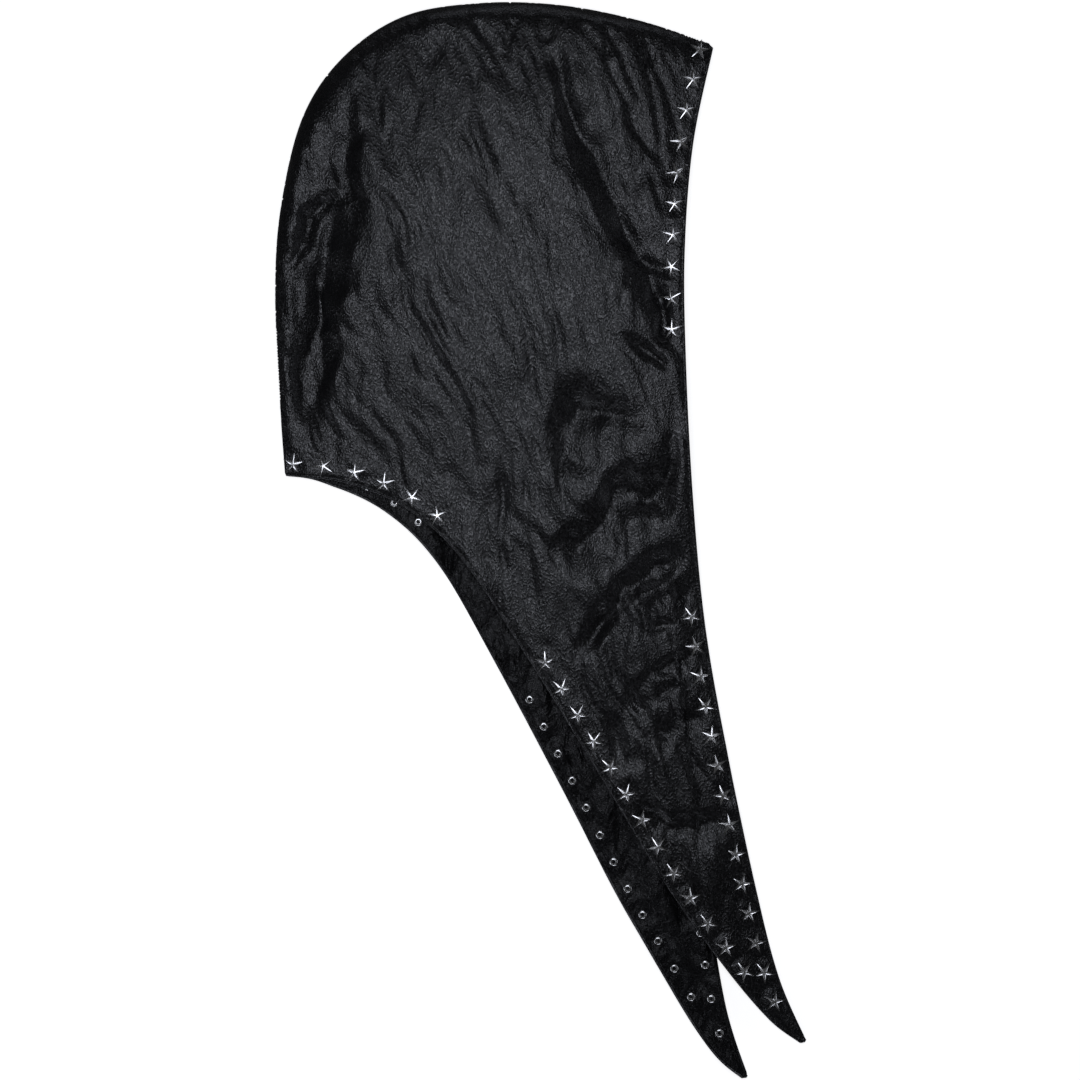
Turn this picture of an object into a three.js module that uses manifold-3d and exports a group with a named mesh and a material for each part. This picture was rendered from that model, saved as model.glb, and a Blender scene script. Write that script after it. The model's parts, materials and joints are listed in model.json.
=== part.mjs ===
// A leather hood with two long pointed ties, lying on its left side as it would on a table.
// It is cut from two equal panels, joined by one seam over the crown and down the back of the
// head. The front edge, the neck edge and the ties are free, and rows of star studs run along them.
// Units are millimetres. +Z is up, +Y runs from the ties' points to the crown, and +X from the
// back of the head to the face. The origin is on the table, in the middle of the hood's outline.

import * as THREE from "three";
import { mergeVertices } from "three/addons/utils/BufferGeometryUtils.js";
import Module from "manifold-3d";

const wasm = await Module();
wasm.setup();

// Leather, and the gaps between pieces that touch
const wall = 1.4;
const pieceGap = 0.3;

// Star studs
const studRadius = 5.6;
const studNotchRadius = 2.35;
const studPeak = 2.4;
const studPoints = 5;
const studInset = 6.4;
const studClearance = 0.4;
const webWidth = 1.2;
const webThickness = 0.6;
const webStart = 1.5;
const webRise = 0.1;
const webChecks = 8;

// How the lower panel lies: raised where its studs point down, flat on the table elsewhere
const studLift = 3.4;
const liftFlat = 13;
const liftReach = 36;

// The crown seam, half way up the rolled edge
const seamHeight = 4.5;
const rollWidth = 9;
const cornerRange = [2, 22];

// How the upper panel lies over the lower one. A range runs from where a rise starts to where
// it is full: a distance from an edge of the leather, or a place along Y.
const cornerTop = 6.7;
const edgeTop = 8.2;
const edgeRange = [0, 14];
const crownRise = { height: 6, fromEdge: [10, 40] };
const puff = { height: 6, fromEdge: [14, 75], fromSeam: [4, 75] };
const mouth = {
  height: 5,
  belowCrown: [215, 120],
  aboveTie: [-40, 40],
  nearFace: [75, 20],
  fromNeck: [10, 40],
};
const tieDroop = { depth: 6, pastLowerTie: [0, 22] };
const layerGap = 0.6;

// The ties are laid apart: the lower panel's is swung back about a point in the hood
const swing = THREE.MathUtils.degToRad(4.26);
const swingCentre = new THREE.Vector2(-55, 141);
const swingLift = 0.56;
const swingLiftCentreX = -125;
const swingBelowCrown = [120, 20];
const swingFromSeam = [0, 34];
const lowerTieExtra = { length: 7, alongTie: [-185, -252] };

// The cut of one panel, as three edges drawn through a few points
const crownSeam = edgeThrough([
  { x: 85.2, y: 248.2 },
  { x: 50, y: 259.8 },
  { x: 10, y: 267.6 },
  { x: -30, y: 268.6 },
  { x: -68, y: 262 },
  { x: -98, y: 242 },
  { x: -118.5, y: 212 },
  { x: -129.5, y: 167.5 },
  { x: -132.5, y: 125 },
  { x: -130.2, y: 70 },
  { x: -127.5, y: 32 },
]);
const faceEdge = edgeThrough([
  { x: 86.6, y: 246 },
  { x: 76.5, y: 197.5 },
  { x: 72.2, y: 142.5 },
  { x: 73, y: 85 },
  { x: 76.5, y: 20 },
  { x: 83, y: -45 },
  { x: 94.5, y: -110 },
  { x: 108.5, y: -176 },
  { x: 119.7, y: -219 },
  { x: 132.6, y: -249 },
]);
const neckEdge = edgeThrough([
  { x: -127.5, y: 32 },
  { x: -97.5, y: 28.5 },
  { x: -67.5, y: 16 },
  { x: -40, y: -8.5 },
  { x: -8.5, y: -55.5 },
  { x: 30.5, y: -118.5 },
  { x: 64, y: -174 },
  { x: 92.5, y: -214 },
  { x: 114.5, y: -240 },
  { x: 130.2, y: -252 },
]);

// Stud rows. Distances run along the row's edge from its upper end, in mm. A turn is how far
// each star leans clockwise from pointing at the crown, in degrees. The lower panel has no
// studs at the first places, where one stud at the seam serves both panels or none is set.
const studRows = [
  {
    name: "face_studs",
    edge: faceEdge,
    from: 2.5,
    to: 142,
    inward: -1,
    skippedBelow: 1,
    turns: [12, 1, 0, -14, -20, -3, 0, -28, -10, 0],
  },
  {
    name: "tie_front_studs",
    edge: faceEdge,
    from: 285,
    to: 481,
    inward: -1,
    skippedBelow: 0,
    turns: [36, -16, 5, 31, 5, -12, -20, -7, 8, 13, 5, 12, 32, 8],
  },
  {
    name: "nape_studs",
    edge: neckEdge,
    from: 3.8,
    to: 77.8,
    inward: 1,
    skippedBelow: 1,
    turns: [7, -20, 5, 6, 36, -7],
  },
  {
    name: "tie_back_studs",
    edge: neckEdge,
    from: 167,
    to: 352,
    inward: 1,
    skippedBelow: 1,
    turns: [-3, 21, 28, 37, 24, 17, 10, 41, 36, 0, 33, 3, 39],
  },
];

// Main dents of the upper panel: a path, how deep the leather dips there, and half its width
const folds = [
  {
    name: "back of the head",
    depth: 5,
    width: 10,
    path: [
      { x: -98, y: 196 },
      { x: -105, y: 165 },
      { x: -109, y: 130 },
      { x: -113, y: 95 },
      { x: -111, y: 62 },
    ],
  },
  {
    name: "temple",
    depth: 4.5,
    width: 9,
    path: [
      { x: 4, y: 240 },
      { x: 17.5, y: 215 },
      { x: 30, y: 188 },
      { x: 41, y: 162 },
      { x: 54, y: 140 },
    ],
  },
  {
    name: "side of the head",
    depth: 2.4,
    width: 9,
    path: [
      { x: -74, y: 152 },
      { x: -64, y: 125 },
      { x: -50, y: 100 },
      { x: -38, y: 78 },
      { x: -33, y: 52 },
    ],
  },
  {
    name: "cheek",
    depth: 3,
    width: 9,
    path: [
      { x: 8, y: 74 },
      { x: 30, y: 68 },
      { x: 56, y: 64 },
    ],
  },
  {
    name: "jaw",
    depth: 4.6,
    width: 9,
    path: [
      { x: 68, y: 50 },
      { x: 52, y: 36 },
      { x: 35, y: 25 },
      { x: 20, y: 10 },
      { x: 10, y: -18 },
    ],
  },
  {
    name: "chin",
    depth: 4.6,
    width: 8.5,
    path: [
      { x: 74, y: -8 },
      { x: 55, y: -22 },
      { x: 36, y: -38 },
      { x: 24, y: -52 },
      { x: 12, y: -66 },
    ],
  },
  {
    name: "top of the tie",
    depth: 3,
    width: 8,
    path: [
      { x: 76, y: -52 },
      { x: 62, y: -64 },
      { x: 45, y: -77 },
      { x: 30, y: -82 },
    ],
  },
  {
    name: "middle of the tie",
    depth: 1.8,
    width: 8,
    path: [
      { x: 52, y: -139 },
      { x: 70, y: -143 },
      { x: 86, y: -138 },
    ],
  },
];
const foldsFromEdge = [9, 22];
const foldsFromSeam = [9, 18];
const foldSampleCount = 24;

// Mesh density
const upperMesh = { columns: 14, hoodRows: 31, tieRows: 28 };
const lowerMesh = { columns: 9, hoodRows: 22, tieRows: 20 };
const rimDistances = [0, 1, 3, 6, 10];
const rimFullFrom = 60;
const napeFaceShare = 0.5;
const evenFrom = 0.3;
const edgeSampleCount = 140;

const leather = new THREE.MeshStandardMaterial({
  color: 0x17181a,
  roughness: 0.45,
  metalness: 0,
});
const steel = new THREE.MeshStandardMaterial({
  color: 0xc9c8c4,
  roughness: 0.22,
  metalness: 1,
});

// A smooth edge through points
function edgeThrough(points) {
  const curve = new THREE.SplineCurve(
    points.map(({ x, y }) => new THREE.Vector2(x, y)),
  );
  curve.arcLengthDivisions = 400;
  return curve;
}

// 0 at from, 1 at to, whichever is greater, and a smooth rise between them
function rise(value, from, to) {
  return from < to
    ? THREE.MathUtils.smoothstep(value, from, to)
    : THREE.MathUtils.smoothstep(-value, -from, -to);
}

// The distance from a point to a line of samples, and which side of it the point is on
function distanceTo(samples, x, y) {
  let best = Infinity;
  let side = 1;
  for (let i = 1; i < samples.length; i++) {
    const a = samples[i - 1];
    const b = samples[i];
    const dx = b.x - a.x;
    const dy = b.y - a.y;
    const along = ((x - a.x) * dx + (y - a.y) * dy) / (dx * dx + dy * dy);
    const t = THREE.MathUtils.clamp(along, 0, 1);
    const distance = Math.hypot(x - a.x - t * dx, y - a.y - t * dy);
    if (distance < best) {
      best = distance;
      side = Math.sign(dx * (y - a.y) - dy * (x - a.x)) || 1;
    }
  }
  return { distance: best, side };
}

// The two ends of a row across the cut: row 0 is at the front corner of the crown, the row at
// hoodRows starts from the nape corner, and the last row closes the tie's tip
function rowEnds(row, hoodRows, tieRows) {
  const inHood = row <= hoodRows;
  const share = inHood ? row / hoodRows : (row - hoodRows) / tieRows;
  const back = inHood ? crownSeam.getPointAt(share) : neckEdge.getPointAt(share);
  const faceShare = THREE.MathUtils.lerp(
    inHood ? 0 : napeFaceShare,
    inHood ? napeFaceShare : 1,
    share,
  );
  return { back, face: faceEdge.getPointAt(faceShare) };
}

// Points along a row. On the hood they crowd at the back, where the seam is rolled, and then go
// on evenly to the face. On the tie they are even.
function rowPoints({ back, face }, columns, evenness) {
  const length = back.distanceTo(face);
  const rim = rimDistances.map((distance) => distance / Math.max(length, rimFullFrom));
  const last = rim.at(-1);
  const rest = Array.from(
    { length: columns },
    (_, i) => last + ((1 - last) * (i + 1)) / columns,
  );
  const crowded = [...rim, ...rest];
  return crowded.map((share, i) => {
    const even = i / (crowded.length - 1);
    return back.clone().lerp(face, THREE.MathUtils.lerp(share, even, evenness));
  });
}

const seamSamples = crownSeam.getSpacedPoints(edgeSampleCount);
const faceSamples = faceEdge.getSpacedPoints(edgeSampleCount);
const neckSamples = neckEdge.getSpacedPoints(edgeSampleCount);
const foldSamples = folds.map((fold) =>
  edgeThrough(fold.path).getSpacedPoints(foldSampleCount),
);

// Where a place on the cut lies once the lower tie is swung back
function lowerPlace({ x, y }) {
  const fromSeam = distanceTo(seamSamples, x, y).distance;
  const share = rise(y, ...swingBelowCrown) * rise(fromSeam, ...swingFromSeam);
  const extra = lowerTieExtra.length * rise(y, ...lowerTieExtra.alongTie);
  return new THREE.Vector2(
    x + share * swing * (y - swingCentre.y),
    y - share * swing * swingLift * (x - swingLiftCentreX) - extra,
  );
}

const lowerFaceSamples = faceSamples.map(lowerPlace);

// The quarter-round profile of the rolled crown edge: 0 at the seam, 1 past the roll
function roll(fromSeam) {
  const share = Math.min(fromSeam / rollWidth, 1);
  return Math.sqrt(1 - (1 - share) ** 2);
}

// The outer face of the upper panel
function upperHeight(x, y) {
  const fromSeam = distanceTo(seamSamples, x, y).distance;
  const fromFace = distanceTo(faceSamples, x, y).distance;
  const fromNeck = distanceTo(neckSamples, x, y).distance;
  const off = distanceTo(lowerFaceSamples, x, y);
  const fromEdge = (range) => rise(fromFace, ...range) * rise(fromNeck, ...range);
  const rolled = roll(fromSeam);
  const laid = THREE.MathUtils.lerp(cornerTop, edgeTop, rise(fromSeam, ...edgeRange));
  const seamDrop =
    (cornerTop - seamHeight - pieceGap / 2) * fromEdge(cornerRange) * (1 - rolled);
  const rolledUp = crownRise.height * fromEdge(crownRise.fromEdge) * rolled;
  const puffed = puff.height * fromEdge(puff.fromEdge) * rise(fromSeam, ...puff.fromSeam);
  const opened =
    mouth.height *
    rise(y, ...mouth.belowCrown) *
    rise(y, ...mouth.aboveTie) *
    rise(fromFace, ...mouth.nearFace) *
    rise(fromNeck, ...mouth.fromNeck);
  const past = off.side > 0 ? off.distance : 0;
  const hanging = tieDroop.depth * rise(past, ...tieDroop.pastLowerTie);
  const fade =
    rise(Math.min(fromFace, fromNeck), ...foldsFromEdge) * rise(fromSeam, ...foldsFromSeam);
  const dents = folds.reduce((sum, fold, i) => {
    const { distance } = distanceTo(foldSamples[i], x, y);
    return sum + fold.depth * Math.exp(-((distance / fold.width) ** 2));
  }, 0);
  const top = laid - seamDrop + rolledUp + puffed + opened - hanging - fade * dents;
  const overLower = off.side <= 0 && fromSeam > rollWidth;
  return overLower ? Math.max(top, lowerHeight(x, y) + 2 * wall + layerGap) : top;
}

// The outer face of the lower panel, which looks down. Its place is one on the table.
function lowerHeight(x, y) {
  const fromSeam = distanceTo(seamSamples, x, y).distance;
  const inside =
    rise(distanceTo(faceSamples, x, y).distance, ...cornerRange) *
    rise(distanceTo(neckSamples, x, y).distance, ...cornerRange);
  const atSeam = THREE.MathUtils.lerp(
    seamHeight - pieceGap / 2 - wall,
    seamHeight - pieceGap / 2,
    inside,
  );
  const nearest = Math.min(...lowerStudLines.map((line) => distanceTo(line, x, y).distance));
  const lifted = studLift * rise(nearest, liftReach, liftFlat);
  return Math.max(lifted, atSeam * (1 - roll(fromSeam)));
}

// The places of a row's studs on the cut, before the lower tie is swung back
function studPlaces({ edge, from, to, inward, turns }) {
  const length = edge.getLength();
  return turns.map((turn, i) => {
    const at = (from + ((to - from) * i) / (turns.length - 1)) / length;
    const along = edge.getTangentAt(at);
    const place = edge.getPointAt(at);
    return new THREE.Vector2(
      place.x - inward * along.y * studInset,
      place.y + inward * along.x * studInset,
    );
  });
}

const lowerStudLines = studRows.map((row) =>
  studPlaces(row).slice(row.skippedBelow).map(lowerPlace),
);

// A leather panel as a closed wall. The outer face has the given height, and looks up or down.
function panelGeometry({ columns, hoodRows, tieRows, place, height, facing }) {
  const rows = Array.from({ length: hoodRows + tieRows + 1 }, (_, row) => {
    const evenness = rise((row - hoodRows) / tieRows, 0, evenFrom);
    return rowPoints(rowEnds(row, hoodRows, tieRows), columns, evenness).map((at) => {
      const { x, y } = place(at);
      return new THREE.Vector3(x, y, height(x, y));
    });
  });
  const lastRow = rows.length - 1;
  const lastColumn = rows[0].length - 1;
  const pick = (row, column) =>
    rows[THREE.MathUtils.clamp(row, 0, lastRow)][
      THREE.MathUtils.clamp(column, 0, lastColumn)
    ];
  const seamLimit = seamHeight + (facing * pieceGap) / 2;
  const pastSeam = facing > 0 ? Math.max : Math.min;
  const inner = rows.map((points, row) =>
    points.map((point, column) => {
      const across = pick(row, column + 1).clone().sub(pick(row, column - 1));
      const down = pick(row + 1, column).clone().sub(pick(row - 1, column));
      const up = down.cross(across).normalize();
      if (up.z < 0) up.negate();
      const moved = point.clone().addScaledVector(up, -facing * wall);
      if (column === 0 && row <= hoodRows) moved.z = pastSeam(moved.z, seamLimit);
      return moved;
    }),
  );
  const outerPoints = rows.flat();
  const count = outerPoints.length;
  const index = (row, column) => row * (lastColumn + 1) + column;
  const faces = [];
  const quad = (a, b, c, d) => faces.push(a, b, c, a, c, d);
  for (let row = 0; row < lastRow; row++) {
    for (let column = 0; column < lastColumn; column++) {
      const a = index(row, column);
      const b = index(row + 1, column);
      const c = index(row + 1, column + 1);
      const d = index(row, column + 1);
      quad(a, b, c, d);
      quad(count + a, count + d, count + c, count + b);
    }
  }
  const border = [];
  for (let row = 0; row < lastRow; row++) border.push(index(row, 0));
  for (let column = 0; column < lastColumn; column++) border.push(index(lastRow, column));
  for (let row = lastRow; row > 0; row--) border.push(index(row, lastColumn));
  for (let column = lastColumn; column > 0; column--) border.push(index(0, column));
  border.forEach((a, i) => {
    const b = border[(i + 1) % border.length];
    quad(b, a, count + a, count + b);
  });
  if (facing < 0) faces.reverse();
  return closedGeometry([...outerPoints, ...inner.flat()], faces);
}

function closedGeometry(vertices, faces) {
  const geometry = new THREE.BufferGeometry().setFromPoints(vertices);
  geometry.setIndex(faces);
  return geometry;
}

function solidFrom(geometry) {
  const bare = geometry.index ? geometry.toNonIndexed() : geometry.clone();
  for (const name of ["normal", "uv"]) bare.deleteAttribute(name);
  const merged = mergeVertices(bare, 1e-4);
  return new wasm.Manifold(
    new wasm.Mesh({
      numProp: 3,
      vertProperties: merged.attributes.position.array,
      triVerts: new Uint32Array(merged.index.array),
    }),
  );
}

function geometryFrom(solid) {
  const mesh = solid.getMesh();
  const geometry = new THREE.BufferGeometry();
  geometry.setAttribute(
    "position",
    new THREE.BufferAttribute(new Float32Array(mesh.vertProperties), 3),
  );
  geometry.setIndex(new THREE.BufferAttribute(new Uint32Array(mesh.triVerts), 1));
  return geometry;
}

// One star: five ridges run from its peak to its points. Its flat back lies on z = 0.
function starGeometry() {
  const rim = Array.from({ length: 2 * studPoints }, (_, i) => {
    const angle = Math.PI / 2 + (i * Math.PI) / studPoints;
    const radius = i % 2 ? studNotchRadius : studRadius;
    return new THREE.Vector3(radius * Math.cos(angle), radius * Math.sin(angle), 0);
  });
  const peak = rim.length;
  const back = peak + 1;
  const vertices = [
    ...rim,
    new THREE.Vector3(0, 0, studPeak),
    new THREE.Vector3(0, 0, 0),
  ];
  const faces = rim.flatMap((_, i) => {
    const next = (i + 1) % rim.length;
    return [i, next, peak, next, i, back];
  });
  return closedGeometry(vertices, faces);
}

// How high a panel's built outer face is at a place, and past its edge how high it is meant to be
function builtHeight(mesh, { height, facing }) {
  const far = 100;
  const ray = new THREE.Raycaster();
  return (x, y) => {
    ray.set(new THREE.Vector3(x, y, facing * far), new THREE.Vector3(0, 0, -facing));
    const [hit] = ray.intersectObject(mesh);
    return hit ? hit.point.z : height(x, y);
  };
}

// How far points have to move along a normal to come out of the leather
function depthInLeather(points, normal, { height, facing }) {
  const depths = points.map(({ x, y, z }) => facing * (height(x, y) - z) * Math.abs(normal.z));
  return Math.max(...depths);
}

// The frame of a stud on a panel's outer face, clear of the leather under its whole back
function studSeat(place, turn, surface) {
  const { height, facing } = surface;
  const slope = (dx, dy) =>
    (height(place.x + dx, place.y + dy) - height(place.x - dx, place.y - dy)) /
    (2 * studRadius);
  const normal = new THREE.Vector3(-slope(studRadius, 0), -slope(0, studRadius), 1)
    .normalize()
    .multiplyScalar(facing);
  const turned = THREE.MathUtils.degToRad(turn);
  const up = new THREE.Vector3(Math.sin(turned), Math.cos(turned), 0);
  up.addScaledVector(normal, -up.dot(normal)).normalize();
  const side = up.clone().cross(normal);
  const centre = new THREE.Vector3(place.x, place.y, height(place.x, place.y));
  const back = [studNotchRadius, studRadius].flatMap((radius) =>
    Array.from({ length: 2 * studPoints }, (_, i) => {
      const angle = Math.PI / 2 + (i * Math.PI) / studPoints;
      return centre
        .clone()
        .addScaledVector(side, radius * Math.cos(angle))
        .addScaledVector(up, radius * Math.sin(angle));
    }),
  );
  const depth = depthInLeather(back, normal, surface);
  centre.addScaledVector(normal, Math.max(0, depth) + studClearance);
  return { centre, normal, frame: new THREE.Matrix4().makeBasis(side, up, normal) };
}

// The web from one stud to the next, clear of the leather that it crosses
function webBetween(from, to, surface) {
  const along = to.centre.clone().sub(from.centre);
  const length = along.length();
  const normal = to.normal.clone().add(from.normal).normalize();
  const side = along.clone().cross(normal).normalize();
  const out = side.clone().cross(along).normalize();
  const under = Array.from({ length: webChecks + 1 }, (_, i) => i / webChecks).flatMap((share) =>
    [-webWidth / 2, webWidth / 2].map((offset) =>
      from.centre.clone().addScaledVector(along, share).addScaledVector(side, offset),
    ),
  );
  const depth = depthInLeather(under, out, surface);
  const lift = Math.max(webRise, depth + pieceGap);
  const middle = from.centre
    .clone()
    .add(to.centre)
    .multiplyScalar(0.5)
    .addScaledVector(out, lift + webThickness / 2);
  const frame = new THREE.Matrix4().makeBasis(along.normalize(), side.negate(), out);
  const web = new THREE.BoxGeometry(length - 2 * webStart, webWidth, webThickness);
  return web.applyMatrix4(frame.setPosition(middle));
}

// A row of studs as one solid: a thin web at the stars' backs joins each to the next
function studRowGeometry(row, surface) {
  const skipped = surface.facing < 0 ? row.skippedBelow : 0;
  const seats = studPlaces(row)
    .map((at, i) => studSeat(surface.place(at), row.turns[i], surface))
    .slice(skipped);
  const stars = seats.map(({ centre, frame }) =>
    starGeometry().applyMatrix4(frame.clone().setPosition(centre)),
  );
  const webs = seats.slice(1).map((seat, i) => webBetween(seats[i], seat, surface));
  return geometryFrom(wasm.Manifold.union([...stars, ...webs].map(solidFrom)));
}

const upper = { ...upperMesh, place: (at) => at, height: upperHeight, facing: 1 };
const lower = { ...lowerMesh, place: lowerPlace, height: lowerHeight, facing: -1 };

const hood = new THREE.Group();

function addPiece(name, geometry, material) {
  const mesh = new THREE.Mesh(geometry, material);
  mesh.name = name;
  hood.add(mesh);
  return mesh;
}

const rightPanel = addPiece("right_panel", panelGeometry(upper), leather);
const leftPanel = addPiece("left_panel", panelGeometry(lower), leather);
const sides = [
  { side: "right", mesh: rightPanel, panel: upper },
  { side: "left", mesh: leftPanel, panel: lower },
];
for (const { side, mesh, panel } of sides) {
  const surface = { ...panel, height: builtHeight(mesh, panel) };
  for (const row of studRows) {
    addPiece(`${row.name}_${side}`, studRowGeometry(row, surface), steel);
  }
}

export default hood;
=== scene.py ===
"""A studded leather hood with two pointed ties, lying flat on its left side on a pale table.

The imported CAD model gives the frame. The leather panels are laid over it as crumpled sheets,
and the star studs, the rivets behind them and the edge stitching are set on those.
Tables and sizes are in millimetres, as on the cut; MM turns them to Blender's metres.
+Y runs from the ties' points to the crown, +X from the back of the head to the face.
"""

import json
import math
from collections import namedtuple

import bmesh
import bpy
import numpy as np
from mathutils import Matrix, Vector, geometry, noise

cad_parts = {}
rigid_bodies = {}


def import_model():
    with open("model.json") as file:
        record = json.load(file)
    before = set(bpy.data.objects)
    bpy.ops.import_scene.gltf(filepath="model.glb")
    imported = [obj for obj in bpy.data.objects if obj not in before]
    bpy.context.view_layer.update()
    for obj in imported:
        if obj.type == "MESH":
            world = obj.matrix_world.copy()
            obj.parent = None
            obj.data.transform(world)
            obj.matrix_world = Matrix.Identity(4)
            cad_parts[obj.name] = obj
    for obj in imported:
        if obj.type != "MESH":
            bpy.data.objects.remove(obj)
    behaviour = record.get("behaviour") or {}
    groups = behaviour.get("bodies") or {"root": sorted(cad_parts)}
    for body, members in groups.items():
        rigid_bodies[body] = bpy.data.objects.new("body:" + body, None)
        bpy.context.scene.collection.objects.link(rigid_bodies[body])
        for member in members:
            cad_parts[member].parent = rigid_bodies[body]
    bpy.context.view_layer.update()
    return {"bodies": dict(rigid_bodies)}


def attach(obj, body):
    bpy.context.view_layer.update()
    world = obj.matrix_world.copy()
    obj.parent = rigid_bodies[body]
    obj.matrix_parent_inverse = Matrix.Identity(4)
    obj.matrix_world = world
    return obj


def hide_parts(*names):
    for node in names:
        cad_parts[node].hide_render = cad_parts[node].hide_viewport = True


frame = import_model()

bl_info = {
    "name": "Studded leather hood",
    "version": (1, 0, 0),
    "blender": (4, 5, 0),
    "location": "View3D > Sidebar > Hood",
    "description": "Builds a soft leather hood with long ties and rows of star studs",
    "category": "Add Mesh",
}

MM = 0.001
BODY = next(iter(frame["bodies"]))

# The cut of one panel. The seam runs over the crown and down the back of the head.
CROWN_SEAM = [
    (85.2, 248.2), (50, 259.8), (10, 267.6), (-30, 268.6), (-68, 262), (-98, 242),
    (-118.5, 212), (-129.5, 167.5), (-132.5, 125), (-130.2, 70), (-127.5, 32),
]
FACE_EDGE = [
    (86.6, 246), (76.5, 197.5), (72.2, 142.5), (73, 85), (76.5, 20), (83, -45),
    (94.5, -110), (108.5, -176), (119.7, -219), (132.6, -249),
]
NECK_EDGE = [
    (-127.5, 32), (-97.5, 28.5), (-67.5, 16), (-40, -8.5), (-8.5, -55.5),
    (30.5, -118.5), (64, -174), (92.5, -214), (114.5, -240), (130.2, -252),
]

# The tie's end is turned in round its point, from the nape's edge to the face's
TIE_POINT = [(131.45, -251.85), (132.4, -251.3), (132.85, -250.2)]

# The seam that joins the panels: its height above the table, half the gap between them beside
# it and on it, how far the leather beside it stands up and over which width, and how far the
# last edge is turned in
SEAM_HEIGHT = 4.5
SEAM_HALF_GAP = 0.15
SEAM_APART = 0.03
SEAM_LIP = 0.6
SEAM_LIP_WIDTH = 0.45
SEAM_FOLD_IN = 0.5
ON_SEAM = 1e-3

# How the upper panel lies. A pair is where a rise starts and where it is full.
ROLL_WIDTH = 9
CORNER_RANGE = (2, 22)
CORNER_TOP = 6.7
EDGE_TOP = 8.2
EDGE_RANGE = (0, 14)
CROWN_RISE = 6
CROWN_FROM_FACE = (0, 60)
CROWN_FROM_NECK = (0, 150)
PUFF = 3.5
PUFF_FROM_FACE = (6, 110)
PUFF_FROM_NECK = (6, 160)
PUFF_FROM_SEAM = (4, 75)
MOUTH = 4
MOUTH_BELOW_CROWN = (215, 120)
MOUTH_ABOVE_TIE = (-40, 40)
MOUTH_NEAR_FACE = (75, 20)
MOUTH_FROM_NECK = (10, 40)
TIE_DROOP = 5
TIE_DROOP_RANGE = (-4, 34)
LAYER_GAP = 0.5
TABLE_GAP = 0.2

# How the lower panel lies: raised over its studs, with its tie swung back
STUD_LIFT = 3.4
LIFT_RANGE = (36, 13)
SWING = math.radians(4.26)
SWING_CENTRE_Y = 141
SWING_LIFT = 0.56
SWING_LIFT_CENTRE_X = -125
SWING_BELOW_CROWN = (120, 20)
SWING_FROM_SEAM = (0, 34)
LOWER_TIE_EXTRA = 7
LOWER_TIE_EXTRA_RANGE = (-185, -252)

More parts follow.
